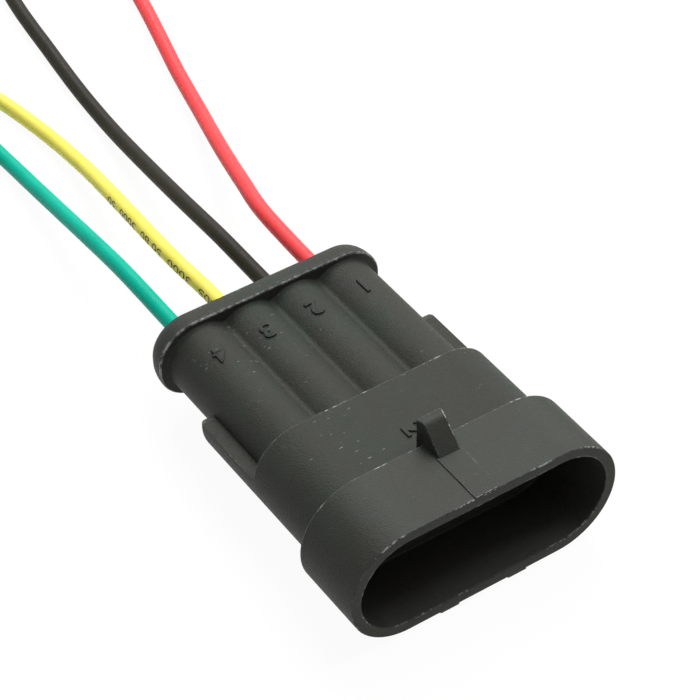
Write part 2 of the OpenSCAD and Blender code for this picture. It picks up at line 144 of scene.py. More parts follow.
class Tree:
    """A node tree whose nodes are added together with their settings and inputs."""

    DIRECT_RAYS = ("Is Camera Ray", "Is Glossy Ray", "Is Transmission Ray")

    def __init__(self, tree: bpy.types.NodeTree) -> None:
        """Takes a tree and empties it."""
        self.tree = tree
        tree.nodes.clear()

    def node(self, kind: str, values: dict[str | int, object] | None = None, **settings: object
             ) -> bpy.types.Node:
        """Adds one node.

        Args:
            kind: The node's type.
            values: Values, fields or sockets for its inputs, by name or number.
            settings: Its own settings, set first.

        Returns:
            The node.
        """
        made = self.tree.nodes.new(kind)
        for key, value in settings.items():
            setattr(made, key, value)
        self.fill(made, values or {})
        return made

    def fill(self, node: bpy.types.Node, values: dict[str | int, object]) -> None:
        """Sets or links inputs of a node.

        Args:
            node: The node.
            values: Values, fields or sockets for its inputs, by name or number.
        """
        for key, value in values.items():
            socket = node.inputs[key]
            given = value.socket if isinstance(value, Field) else value
            if isinstance(given, bpy.types.NodeSocket):
                self.tree.links.new(given, socket)
            else:
                socket.default_value = (*given, 1.0) if socket.type == "RGBA" else given

    def result(self, kind: str, values: dict[str | int, object] | None = None, output: str | int = 0,
               **settings: object) -> Field:
        """Adds one node and gives one of its outputs.

        Args:
            kind: The node's type.
            values: Values, fields or sockets for its inputs, by name or number.
            output: Name or number of the output.
            settings: The node's own settings.

        Returns:
            The output.
        """
        return Field(self, self.node(kind, values, **settings).outputs[output])

    def split(self, vector: Field) -> tuple[Field, ...]:
        """The three parts of a vector."""
        return tuple(Field(self, part) for part in self.node("ShaderNodeSeparateXYZ", {0: vector}).outputs)

    def direct(self) -> Field:
        """Tells rays that show the surroundings, seen, mirrored or through glass, from those that light.

        Returns:
            One for such a ray and zero for others.
        """
        path = self.node("ShaderNodeLightPath")
        seen, mirrored, through = (Field(self, path.outputs[kind]) for kind in self.DIRECT_RAYS)
        return seen.maths("MAXIMUM", mirrored).maths("MAXIMUM", through)


class Shader(Tree):
    """The node tree of one finish."""

    SUFFIX = "_finish"

    def __init__(self, name: str) -> None:
        """Starts a material with a Principled surface.

        Args:
            name: The finish's name.
        """
        self.material = bpy.data.materials.new(name + self.SUFFIX)
        self.material.use_nodes = True
        super().__init__(self.material.node_tree)
        self.surface = self.node("ShaderNodeBsdfPrincipled")
        self.output = self.node("ShaderNodeOutputMaterial", {"Surface": self.surface.outputs[0]})

    def place(self, scale: Sequence[float] = (1.0, 1.0, 1.0), turn: float = 0.0) -> Field:
        """Object coordinates in millimetres, stretched and turned.

        Args:
            scale: Stretch along each axis.
            turn: Turn seen from above, in radians.

        Returns:
            The coordinates.
        """
        where = self.result("ShaderNodeTexCoord", output="Object")
        return self.result("ShaderNodeMapping", {"Vector": where, "Scale": tuple(s / MM for s in scale),
                                                 "Rotation": (0.0, 0.0, turn)})

    def noise(self, scale: float, detail: float = 2.0, where: Field | None = None, rough: float = 0.5
              ) -> Field:
        """Smooth random value over the surface.

        Args:
            scale: Waves per millimetre.
            detail: Number of finer layers.
            where: Coordinates, or None for plain ones.
            rough: Weight of the finer layers.

        Returns:
            The value, about 0.5 on average.
        """
        return self.result("ShaderNodeTexNoise", {"Vector": where or self.place(), "Scale": scale,
                                                  "Detail": detail, "Roughness": rough})

    def cells(self, scale: float, where: Field | None = None) -> Field:
        """Distance to the nearest of many scattered points.

        Args:
            scale: Points per millimetre.
            where: Coordinates, or None for plain ones.

        Returns:
            The distance.
        """
        values = {"Vector": where or self.place(), "Scale": scale, "Randomness": 1.0}
        return self.result("ShaderNodeTexVoronoi", values, "Distance")

    def attribute(self, name: str) -> Field:
        """A value stored on the mesh under that name."""
        return self.result("ShaderNodeAttribute", output="Fac", attribute_name=name)

    def upward(self) -> Field:
        """How far the surface faces up, from -1 to 1."""
        return self.split(self.result("ShaderNodeNewGeometry", output="Normal"))[2]

    def mix(self, share: Field | float, first: Field | Colour, second: Field | Colour) -> Field:
        """Mixes two colours by the share of the second."""
        return self.result("ShaderNodeMix", {0: share, 6: first, 7: second}, 2, data_type="RGBA")

    def bump(self, height: Field, strength: float, distance: float) -> None:
        """Makes the surface rise and fall.

        Args:
            height: Height from 0 to 1.
            strength: Share of the effect.
            distance: Real height of 1, in millimetres.
        """
        self.set({"Normal": self.result("ShaderNodeBump", {"Height": height, "Strength": strength,
                                                           "Distance": distance * MM})})

    def set(self, values: dict[str, object]) -> None:
        """Sets or links inputs of the surface, by name."""
        self.fill(self.surface, values)


# ---------------------------------------- finishes


@dataclass(frozen=True)
class MouldedPlastic:
    """Glass-filled plastic with a fine spark-eroded grain, worn lighter along its edges; that lighter edge
    colour is also a painted highlight.

    Greenish patches on up-facing tops are partly a painted sheen, and the shroud's top carries a lighter
    painted sheen. Wear and painted sheen depend on where it sits in the part's frame, so its spans along Y
    and Z are in millimetres.
    """

    name: str
    colour: Colour
    # Light grey of worn edges and scratches, also used for the painted highlight along edges and the painted
    # sheen on tops.
    worn: Colour
    # Greenish, slightly lighter patch colour for up-facing tops: a random tone that is also a painted sheen.
    tint_and_sheen: Colour
    roughness: float = 0.52
    grain: float = 0.8
    scuffs: float = 1.0
    gloss: float = 0.16
    grain_depth: float = 0.05
    full_height: float = 8.0
    top: Span = (8.2, 9.2)
    shroud_rear: Span = (-12.5, -11.5)
    # Span along Y where the painted sheen on the shroud's top gives way to a faint one.
    shroud_sheen: Span = (-12.0, -11.3)
    flange_front: Span = (18.2, 18.5)
    handled_side: Span = (-2.0, 8.0)
    scratch_turns: Span = (25.0, -40.0)
    shades: Span = (0.85, 1.15)

    def build(self) -> bpy.types.Material:
        """Builds the material.

        Returns:
            The material.
        """
        made = Shader(self.name)
        patches = made.noise(0.13, 2.0).remap(0.4, 0.6)
        mottle = made.noise(2.2, 4.0, rough=0.7).remap(0.35, 0.65)
        grain = made.noise(5.5, 3.0, rough=0.7).remap(0.3, 0.7)
        edge = made.attribute("edge")
        upward = made.upward()
        across, along, height = made.split(made.place())
        open_side = upward.remap(0.3, 0.95) * height.remap(*self.top)
        # Tight edges lighter, more toward the flange's front and higher up: partly rubbed wear, partly a
        # painted highlight along the roundings.
        rubbed = made.noise(1.6, 4.0, rough=0.7).remap(0.42, 0.66, 0.12, 0.5)
        chafed = made.noise(0.3, 1.0).remap(0.5, 0.6) * made.noise(2.4, 3.0).remap(0.46, 0.56)
        at_rear = along.remap(*self.flange_front, 0.6, 1.8)
        worn_and_highlit_edge = (edge * (rubbed * at_rear + chafed * 0.8)
                     * height.remap(0.0, self.full_height, 0.5, 1.0))
        sparse = made.noise(0.21, 1.0).remap(0.45, 0.56)
        handled = along.remap(*self.shroud_rear, 0.3, 1.0) * across.remap(*self.handled_side, 1.0, 0.4)
        one_way, other_way = (self._strokes(made, turn) for turn in self.scratch_turns)
        marks = (one_way + other_way) * sparse * open_side * handled
        plain = made.mix(mottle, *(tuple(c * share for c in self.colour) for share in self.shades))
        # Greenish patches only on up-facing tops: random tone and painted sheen.
        tinted = made.mix(patches * open_side * 0.8, plain, self.tint_and_sheen)
        # Painted sheen: up-facing faces pulled toward the light worn colour, strongest on the shroud's top.
        level = along.remap(*self.shroud_sheen, 0.06, 0.01) * upward.remap(0.8, 1.0)
        with_sheen = made.mix(level, tinted, self.worn)
        made.set({
            # Edges and scratches mixed toward the worn colour: real wear and scratches plus the painted edge
            # highlight.
            "Base Color": made.mix((worn_and_highlit_edge + marks * self.scuffs).remap(0.0, 1.0), with_sheen, self.worn),
            "Roughness": mottle.remap(0.0, 1.0, self.roughness - 0.03, self.roughness + 0.04) - edge * 0.12,
            "Specular IOR Level": self.gloss,
        })
        made.bump(grain * 0.8 + mottle * 0.2, self.grain, self.grain_depth)
        return made.material

    def _strokes(self, made: Shader, turn: float) -> Field:
        """Short scattered scratches that run one way across the top.

        Args:
            made: The shader that they are added to.
            turn: Their direction from above, in degrees.

        Returns:
            One on a scratch and zero beside it.
        """
        where = made.place((0.45, 2.6, 0.0), math.radians(turn))
        return made.cells(1.0, where).remap(0.15, 0.08) * made.noise(1.7, 2.0, where).remap(0.5, 0.6)


@dataclass(frozen=True)
class Insulation:
    """Extruded wire insulation, smooth with a faint waxy unevenness."""

    name: str
    colour: Colour
    shade: Colour
    gloss: float = 0.12
    roughness: float = 0.45

    def build(self) -> bpy.types.Material:
        """Builds the material.

        Returns:
            The material.
        """
        made = Shader(self.name)
        cloud = made.noise(0.25, 3.0).remap(0.3, 0.72)
        fine = made.noise(3.0, 3.0, rough=0.6)
        dust = made.cells(2.2).remap(0.09, 0.03) * made.noise(0.8, 1.0).remap(0.5, 0.62)
        plain = made.mix(cloud * 0.7 + fine * 0.3, self.colour, self.shade)
        made.set({
            "Base Color": made.mix(dust * 0.25, plain, tuple(0.5 * c + 0.12 for c in self.colour)),
            "Roughness": fine.remap(0.3, 0.7, self.roughness - 0.05, self.roughness + 0.07),
            "Specular IOR Level": self.gloss,
        })
        made.bump(fine * 0.4 + cloud * 0.6, 0.15, 0.03)
        return made.material


@dataclass(frozen=True)
class Metal:
    """Plated or drawn metal with fine lines along the strip and slight tarnish."""

    name: str
    colour: Colour
    tarnish: Colour
    roughness: float = 0.3
    lines: Point3 = (8.0, 0.5, 8.0)

    def build(self) -> bpy.types.Material:
        """Builds the material.

        Returns:
            The material.
        """
        made = Shader(self.name)
        drawn = made.noise(2.0, 3.0, made.place(self.lines))
        cloud = made.noise(0.7, 3.0).remap(0.35, 0.75)
        made.set({
            "Base Color": made.mix(cloud * 0.6 + drawn * 0.25, self.colour, self.tarnish),
            "Metallic": 1.0,
            "Roughness": drawn.remap(0.3, 0.7, self.roughness - 0.06, self.roughness + 0.1),
        })
        made.bump(drawn, 0.3, 0.01)
        return made.material


@dataclass(frozen=True)
class Rubber:
    """Silicone seal, soft and slightly dusty."""

    name: str
    colour: Colour
    dust: Colour

    def build(self) -> bpy.types.Material:
        """Builds the material.

        Returns:
            The material.
        """
        made = Shader(self.name)
        cloud = made.noise(1.1, 3.0).remap(0.35, 0.7)
        fine = made.noise(7.0, 3.0)
        made.set({
            "Base Color": made.mix(cloud * 0.5, self.colour, self.dust),
            "Roughness": fine.remap(0.3, 0.7, 0.42, 0.58),
        })
        made.bump(fine, 0.3, 0.02)
        return made.material


@dataclass(frozen=True)
class Ink:
    """Printed numerals, thin and slightly worn."""

    name: str
    colour: Colour
    under: Colour

    def build(self) -> bpy.types.Material:
        """Builds the material.

        Returns:
            The material.
        """
        made = Shader(self.name)
        worn = made.noise(6.0, 2.0).remap(0.52, 0.66)
        made.set({"Base Color": made.mix(worn * 0.55, self.colour, self.under), "Roughness": 0.5})
        return made.material


class Finish(Enum):
    """The finishes of the connector, each under its own name."""

    HOUSING = MouldedPlastic("housing_plastic", (0.026, 0.0265, 0.0215), (0.3, 0.3, 0.285),
                             (0.024, 0.0315, 0.023))
    LOCK = MouldedPlastic("lock_plastic", (0.16, 0.013, 0.014), (0.26, 0.07, 0.06), (0.16, 0.015, 0.015),
                          0.5, 0.3, 0.3, 0.1)
    TIN = Metal("tinned_brass", (0.72, 0.71, 0.68), (0.5, 0.47, 0.42))
    SEAL = Rubber("seal_rubber", (0.36, 0.24, 0.03), (0.46, 0.36, 0.14))
    STRANDS = Metal("copper_strand", (0.74, 0.68, 0.6), (0.58, 0.4, 0.27), 0.28, (3.0, 3.0, 3.0))
    RED = Insulation("insulation_red", (0.94, 0.075, 0.08), (0.87, 0.065, 0.07))
    BLACK = Insulation("insulation_black", (0.02, 0.019, 0.013), (0.026, 0.025, 0.019), 0.08)
    YELLOW = Insulation("insulation_yellow", (0.9, 0.78, 0.14), (0.84, 0.7, 0.1))
    GREEN = Insulation("insulation_green", (0.0, 0.4, 0.28), (0.0, 0.35, 0.24), 0.08)
    INK = Ink("ink", (0.03, 0.025, 0.01), (0.7, 0.55, 0.04))

    @property
    def material(self) -> bpy.types.Material:
        """The finish's material, built once."""
        return bpy.data.materials.get(self.value.name + Shader.SUFFIX) or self.value.build()


# ---------------------------------------- mesh tools


@dataclass(frozen=True)
class Outline:
    """Closed outline square to the connector's axis, sampled at matching places whatever its shape.

    With a barrel radius, top and bottom follow the four barrels and the web between them.
    """

    width: float
    height: float
    corner: float
    barrel: bool = False
    row: float = 3 * PITCH
    arc_steps: int = 32
    angles: tuple[float, ...] = (0.0, 6.0, 12.0, 18.0, 24.0, 30.0, 35.0, 38.5, 41.4, 45.58)
    reach: float = 4.2
    web: float = 3.15
    blend: float = 0.12

    def _spots(self) -> list[Point2]:
        """Chooses the points along the top, from -X to +X.

        Returns:
            Each point's circuit and its angle round that circuit, in degrees.
        """
        spots = []
        for centre in sorted(CIRCUITS):
            left = [] if centre == min(CIRCUITS) else [-a for a in reversed(self.angles[1:-1])]
            right = [] if centre == max(CIRCUITS) else list(self.angles[1:])
            spots += [(centre, a) for a in [*left, 0.0, *right]]
        return spots

    def _top(self, inset: float) -> list[Point2]:
        """Points along the top, from -X to +X.

        Args:
            inset: How far inside the outline they lie.

        Returns:
            The points across and up from the axis.
        """
        points = []
        for centre, angle in self._spots():
            turn = math.radians(angle)
            x = centre + self.reach * math.sin(turn)
            if self.barrel:
                radius, web = self.corner - inset, self.web - inset
                crown = math.sqrt(max(radius**2 - (x - centre) ** 2, 0.0))
                z = (crown + web + math.hypot(crown - web, self.blend)) / 2
            else:
                x *= (self.width / 2 - self.corner) / (self.row / 2)
                z = self.height / 2 - inset
            points.append((x, z))
        return points

    def points(self, inset: float = 0.0) -> list[Point2]:
        """All points, clockwise seen from the mouth.

        Args:
            inset: How far inside the outline they lie.

        Returns:
            The points across and up from the axis.
        """
        top = self._top(inset)
        radius = self.corner - inset
        middle, lift = self.width / 2 - self.corner, self.height / 2 - self.corner
        right = []
        for i in range(1, self.arc_steps):
            angle = math.pi / 2 - math.pi * i / self.arc_steps
            side = 0.0 if 2 * i == self.arc_steps else math.copysign(lift, angle)
            right.append((middle + radius * math.cos(angle), side + radius * math.sin(angle)))
        bottom = [(x, -z) for x, z in reversed(top)]
        left = [(-x, z) for x, z in reversed(right)]
        return [*top, *right, *bottom, *left]


@dataclass
class Station:
    """One ring of a lofted surface: its place behind the rim, its outline, and how far inside it lies."""

    y: float
    outline: Outline
    inset: float = 0.0


def placed(name: str, data: bpy.types.ID) -> bpy.types.Object:
    """Puts data into the scene.

    Args:
        name: Name of the new object.
        data: Its mesh, curve, camera or light.

    Returns:
        The object.
    """
    made = bpy.data.objects.new(name, data)
    bpy.context.scene.collection.objects.link(made)
    return made


def meshed(source: bpy.types.Object, name: str) -> bpy.types.Mesh:
    """Plain mesh of what an object shows.

    Args:
        source: The object, with its modifiers or its bevelled curve.
        name: Name of the mesh.

    Returns:
        The mesh.
    """
    graph = bpy.context.evaluated_depsgraph_get()
    data = bpy.data.meshes.new_from_object(source.evaluated_get(graph), depsgraph=graph)
    data.name = name
    return data


class Maker:
    """Collects faces of one piece in a bmesh and turns them into an object."""

    def __init__(self, name: str) -> None:
        """Starts an empty piece of that name."""
        self.name = name
        self.mesh = bmesh.new()

    def skin(self, rings: Iterable[Iterable[Vector]]) -> None:
        """Closed surface through rings in order, capped at both ends.

        Args:
            rings: The rings, each a loop of as many points.
        """
        loops = [[self.mesh.verts.new(point) for point in ring] for ring in rings]
        for first, second in zip(loops, loops[1:], strict=False):
            for i in range(len(first)):
                j = (i + 1) % len(first)
                self.mesh.faces.new((first[i], first[j], second[j], second[i]))
        self.mesh.faces.new(loops[0])
        self.mesh.faces.new(loops[-1])

    def loft(self, stations: Sequence[Station]) -> None:
        """Closed surface through stations square to the axis, in order."""
        self.skin([DATUM.place(x, s.y, z) for x, z in s.outline.points(s.inset)] for s in stations)

    def prism(self, profile: Sequence[Vector], move: Vector) -> None:
        """Closed prism from a flat outline to its copy moved along."""
        self.skin([profile, [point + move for point in profile]])

    def box(self, low: Sequence[float], high: Sequence[float]) -> None:
        """Box between two corners given about the connector's axis.

        Args:
            low: Its corner with the lowest coordinates.
            high: The opposite corner.
        """
        corners = [DATUM.place(x, low[1], z) for x, z in
                   ((low[0], low[2]), (high[0], low[2]), (high[0], high[2]), (low[0], high[2]))]
        self.prism(corners, Vector((0.0, (high[1] - low[1]) * MM, 0.0)))

    def turned(self, x: float, profile: Sequence[Point2], sides: int = 48) -> None:
        """Solid turned about one circuit's axis.

        Args:
            x: Where the axis lies across the connector.
            profile: (radius, y) points, from end to end.
            sides: Number of strips round it.
        """
        turns = [2 * math.pi * k / sides for k in range(sides)]
        self.skin([DATUM.place(x + radius * math.cos(turn), y, radius * math.sin(turn)) for turn in turns]
                  for radius, y in profile)

    def object(self) -> bpy.types.Object:
        """Merges doubles, turns the faces outwards and makes the object.

        Returns:
            The object.
        """
        bmesh.ops.remove_doubles(self.mesh, verts=self.mesh.verts, dist=SAME_SPOT)
        bmesh.ops.recalc_face_normals(self.mesh, faces=self.mesh.faces)
        data = bpy.data.meshes.new(self.name)
        self.mesh.to_mesh(data)
        self.mesh.free()
        return placed(self.name, data)


def modified(piece: bpy.types.Object, kind: str, **settings: object) -> bpy.types.Object:
    """Applies one modifier to a piece.

    Args:
        piece: The piece, whose mesh is replaced.
        kind: The modifier's type.
        settings: Its settings.

    Returns:
        The piece.
    """
    modifier = piece.modifiers.new(kind.lower(), kind)
    for key, value in settings.items():
        setattr(modifier, key, value)
    data = meshed(piece, piece.name)
    piece.modifiers.clear()
    old, piece.data = piece.data, data
    bpy.data.meshes.remove(old)
    return piece


def carved(piece: bpy.types.Object, tool: bpy.types.Object) -> None:
    """Cuts a tool's shape out of a piece and removes the tool."""
    modified(piece, "BOOLEAN", object=tool, operation="DIFFERENCE", solver="EXACT", use_self=True)
    bpy.data.objects.remove(tool)


def marked(piece: bpy.types.Object, narrow: float = 0.22, gentle: float = 11.0, tight: float = 24.0) -> None:
    """Stores on each face whether it lies on a tight outward rounding, from 0 to 1.

    Args:
        piece: The piece.
        narrow: Widest face of a rounding, in millimetres.
        gentle: Turn at one edge, in degrees, that counts as flat.
        tight: Turn at one edge that counts in full.
    """
    mesh = bmesh.new()
    mesh.from_mesh(piece.data)
    layer = mesh.faces.layers.float.new("edge")
    for face in mesh.faces:
        if 2 * face.calc_area() / face.calc_perimeter() > narrow * MM:
            continue
        turn = max(math.degrees(edge.calc_face_angle_signed(0.0)) for edge in face.edges)
        face[layer] = min(max((turn - gentle) / (tight - gentle), 0.0), 1.0)
    mesh.to_mesh(piece.data)
    mesh.free()


def dressed(piece: bpy.types.Object, finish: Finish, crease: float = 32.0, worn: bool = True
            ) -> bpy.types.Object:
    """Gives a finished piece its material and shading and sets it on the connector's body.

    Args:
        piece: The piece.
        finish: Its finish.
        crease: Angle in degrees above which an edge stays sharp.
        worn: Whether its edges are rubbed lighter, a wear that also paints a highlight on them.

    Returns:
        The piece.
    """
    piece.data.materials.clear()
    piece.data.materials.append(finish.material)
    piece.data.polygons.foreach_set("use_smooth", [True] * len(piece.data.polygons))
    piece.data.set_sharp_from_angle(angle=math.radians(crease))
    if worn and isinstance(finish.value, MouldedPlastic):
        marked(piece)
    modified(piece, "WEIGHTED_NORMAL", keep_sharp=True, weight=80)
    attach(piece, "connector")
    log.info("%s: %d faces", piece.name, len(piece.data.polygons))
    return piece


# ---------------------------------------- geometry nodes


class Pattern(Tree):
    """A geometry node tree with named inputs, and the piece that it makes."""

    def __init__(self, name: str, sizes: dict[str, float], finish: Finish) -> None:
        """Starts a tree.

        Args:
            name: The tree's and the piece's name.
            sizes: Its named inputs and their values.
            finish: Finish of what it makes.
        """
        super().__init__(bpy.data.node_groups.new(name, "GeometryNodeTree"))
        self.name, self.sizes, self.finish = name, sizes, finish
        for way in ("INPUT", "OUTPUT"):
            self.tree.interface.new_socket("Geometry", in_out=way, socket_type="NodeSocketGeometry")
        for key in sizes:
            self.tree.interface.new_socket(key, in_out="INPUT", socket_type="NodeSocketFloat")
        self.inputs = self.node("NodeGroupInput").outputs

    def given(self, name: str) -> Field:
        """One of the tree's own inputs."""
        return Field(self, self.inputs[name])

    def vector(self, operation: str, first: object, second: object = (0.0, 0.0, 0.0)) -> Field:
        """Result of one Vector Math node."""
        return self.result("ShaderNodeVectorMath", {0: first, 1: second}, operation=operation)

    def scaled(self, vector: Field, factor: Field) -> Field:
        """A vector made longer or shorter."""
        return self.result("ShaderNodeVectorMath", {0: vector, "Scale": factor}, operation="SCALE")

    def run(self, geometry: Field, base: bpy.types.Curve | None = None) -> bpy.types.Object:
        """Closes the tree and turns its result into a plain mesh.

        Args:
            geometry: What the tree makes.
            base: Curve that the tree starts from, or None for an empty mesh.

        Returns:
            The piece.
        """
        real = self.result("GeometryNodeRealizeInstances", {0: geometry})
        clad = self.result("GeometryNodeSetMaterial", {"Geometry": real, "Material": self.finish.material})
        self.node("NodeGroupOutput", {0: clad})
        holder = placed(self.name + "_holder", base or bpy.data.meshes.new(self.name + "_holder"))
        modifier = holder.modifiers.new(self.name, "NODES")
        modifier.node_group = self.tree
        for item in self.tree.interface.items_tree:
            if item.name in self.sizes:
                modifier[item.identifier] = self.sizes[item.name]
        made = placed(self.name, meshed(holder, self.name))
        bpy.data.objects.remove(holder)
        return made


# ---------------------------------------- housing


def quarter(outline: Outline, start: Point2, end: Point2, wall_first: bool, steps: int = 4) -> list[Station]:
    """Rings of a quarter round between a wall along the axis and a face square to it.

    Args:
        outline: The outline that the rings follow.
        start: (y, inset) of the first ring.
        end: (y, inset) of the last ring.
        wall_first: Whether the rounding leaves a wall and ends in a face.
        steps: Number of strips.

    Returns:
        The rings.
    """
    rings = []
    for i in range(steps + 1):
        angle = math.pi / 2 * i / steps
        slow, fast = 1 - math.cos(angle), math.sin(angle)
        along, across = (fast, slow) if wall_first else (slow, fast)
        rings.append(Station(start[0] + (end[0] - start[0]) * along, outline,
                             start[1] + (end[1] - start[1]) * across))
    return rings


@dataclass
class Housing:
    """The black moulding: mouth, shroud, mid body, merged barrels and rear flange."""

    mouth: Outline = Outline(32.7, MOUTH_HEIGHT, MOUTH_HEIGHT / 2)
    bore: Outline = Outline(30.2, 11.6, 5.8)
    pocket: Outline = Outline(25.8, 8.0, 3.2)
    body: Outline = Outline(29.7, 11.1, 5.55)
    barrels: Outline = Outline(26.4, 8.4, 4.2, barrel=True)
    flange: Outline = Outline(28.4, 9.8, 4.65)
    shoulder: float = 8.0
    floor: float = 16.5
    shroud_end: float = 9.25
    body_end: float = 20.35
    flange_start: float = 39.8
    length: float = LENGTH
    lip: float = 0.15
    rim_soft: float = 0.12
    soft: float = 0.2
    shroud_round: float = 0.25
    round: float = 0.35
    dome: Point2 = (2.6, 1.1)
    dome_steps: int = 10
    tab_slot: Span = (1.8, 0.9)
    tab_z: float = -0.4
    blade_slot: Span = (1.9, 1.0)
    blade_z: float = 2.3
    cavity: Point3 = (2.6, -1.35, 2.8)
    cavity_start: float = 17.7
    bore_start: float = 28.4
    seal_bore: float = 2.5
    chamfer: float = 0.5
    recess: Span = (2.95, 0.25)
    over: float = 0.5

    def _stations(self) -> list[Station]:
        """Rings from the pocket's floor out round the rim and back to the rear face.

        Returns:
            The rings in order.
        """
        soft, lip, brim = self.soft, self.lip, self.rim_soft
        big, wide = self.round, self.shroud_round
        return [
            *quarter(self.pocket, (self.floor, soft), (self.floor - soft, 0.0), False),
            *quarter(self.pocket, (self.shoulder + lip, 0.0), (self.shoulder, -lip), True),
            *quarter(self.bore, (self.shoulder, soft), (self.shoulder - soft, 0.0), False),
            *quarter(self.bore, (lip, 0.0), (0.0, -lip), True),
            *quarter(self.mouth, (0.0, brim), (brim, 0.0), False),
            *quarter(self.mouth, (self.shroud_end - wide, 0.0), (self.shroud_end, wide), True),
            *quarter(self.body, (self.shroud_end, -soft), (self.shroud_end + soft, 0.0), False),
            *quarter(self.body, (self.body_end - big, 0.0), (self.body_end, big), True),
            *quarter(self.barrels, (self.body_end, -soft), (self.body_end + soft, 0.0), False),
            *quarter(self.barrels, (self.flange_start - soft, 0.0), (self.flange_start, -soft), True),
            *quarter(self.flange, (self.flange_start, soft), (self.flange_start + soft, 0.0), False),
            *quarter(self.flange, (self.length - self.dome[0], 0.0), (self.length, self.dome[1]), True,
                     self.dome_steps),
        ]

    def _seal_bores(self) -> bpy.types.Object:
        """Cutter for the four seal bores with their chamfers.

        Returns:
            The cutter.
        """
        tool = Maker("seal_bores")
        wide = self.seal_bore + self.chamfer
        for x in CIRCUITS:
            tool.turned(x, [(self.seal_bore, self.bore_start), (self.seal_bore, self.length - self.chamfer),
                            (wide, self.length), (wide, self.length + self.over)])
        return tool.object()

    def _cavities(self) -> bpy.types.Object:
        """Cutter for the cavities of the contacts and the recesses in the pocket's floor.

        Returns:
            The cutter.
        """
        tool = Maker("cavities")
        wide, low, high = self.cavity
        end = self.bore_start + self.over
        for x in CIRCUITS:
            tool.box((x - wide / 2, self.cavity_start, low), (x + wide / 2, end, high))
        half = self.pocket.height / 2
        for x in (-PITCH / 2, PITCH / 2):
            tool.box((x - self.recess[0] / 2, self.shoulder - self.over, -half - self.recess[1]),
                     (x + self.recess[0] / 2, self.floor, -half + self.over))
        return tool.object()

    def _windows(self) -> bpy.types.Object:
        """Cutter for the tab slots and the windows of the lock's blades.

        Returns:
            The cutter.
        """
        tool = Maker("windows")
        for x in CIRCUITS:
            for (wide, high), z in ((self.tab_slot, self.tab_z), (self.blade_slot, self.blade_z)):
                tool.box((x - wide / 2, self.floor - self.over, z - high / 2),
                         (x + wide / 2, self.cavity_start + self.over, z + high / 2))
        return tool.object()

    def build(self) -> bpy.types.Object:
        """Builds the moulding.

        Returns:
            The housing.
        """
        maker = Maker("housing_moulding")
        maker.loft(self._stations())
        piece = maker.object()
        for tool in (self._seal_bores(), self._cavities(), self._windows()):
            carved(piece, tool)
        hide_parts("housing")
        return dressed(piece, Finish.HOUSING)


@dataclass(frozen=True)
class Numeral:
    """One raised numeral: its middle, the height that it stands at, and its turn seen from above.

    Its crown is where the axis of the barrel under it lies across the connector, or 0 on a flat.
    """

    text: str
    x: float
    y: float
    surface: float
    turn: float
    crown: float = 0.0


@dataclass
class RaisedNumbers:
    """Circuit numbers on the barrels, read from the wires' side, and a plain cavity number."""

    height: float = 2.2
    relief: float = 0.2
    root: float = 0.25
    soft: float = 0.03
    bold: float = 0.05
    row: tuple[Numeral, ...] = (
        Numeral("1", 9.0, 35.1, 4.2, 180.0, 9.0), Numeral("2", 2.7, 35.1, 4.2, 180.0, 3.0),
        Numeral("3", -3.5, 35.0, 4.2, 180.0, -3.0), Numeral("4", -9.5, 34.75, 4.2, 180.0, -9.0),
        Numeral("2", 0.03, 12.75, 5.55, -90.0))

    def _solid(self, numeral: Numeral) -> bpy.types.Mesh:
        """Closed solid of one numeral, whose face follows the barrel under it.

        Args:
            numeral: Which numeral.

        Returns:
            Its mesh, in the part's frame.
        """
        curve = bpy.data.curves.new("numeral_" + numeral.text, "FONT")
        curve.body, curve.size = numeral.text, 1.0
        curve.resolution_u = 5
        holder = placed(curve.name, curve)
        bpy.context.view_layer.update()
        low, high = Vector(holder.bound_box[0]), Vector(holder.bound_box[6])
        size = self.height / (high.y - low.y)
        middle = (low + high) / 2
        curve.extrude = (self.relief + self.root) / 2 / size - self.soft / size
        curve.bevel_depth, curve.bevel_resolution = self.soft / size, 1
        curve.offset = (self.bold - self.soft) / size
        data = meshed(holder, curve.name)
        bpy.data.objects.remove(holder)
        turn = Matrix.Rotation(math.radians(numeral.turn), 3, "Z")
        for vertex in data.vertices:
            spot = turn @ ((vertex.co - middle) * size)
            x = numeral.x + spot.x
            sag = 0.0
            if numeral.crown:
                sag = numeral.surface - math.sqrt(numeral.surface**2 - (x - numeral.crown) ** 2)
            lift = (vertex.co.z * size) + (self.relief - self.root) / 2
            vertex.co = DATUM.place(x, numeral.y + spot.y, numeral.surface + lift - sag)
        return data

    def build(self) -> bpy.types.Object:
        """Builds all the numerals as one piece.

        Returns:
            The piece.
        """
        maker = Maker("raised_numbers")
        for numeral in self.row:
            maker.mesh.from_mesh(self._solid(numeral))
        return dressed(maker.object(), Finish.HOUSING, worn=False)


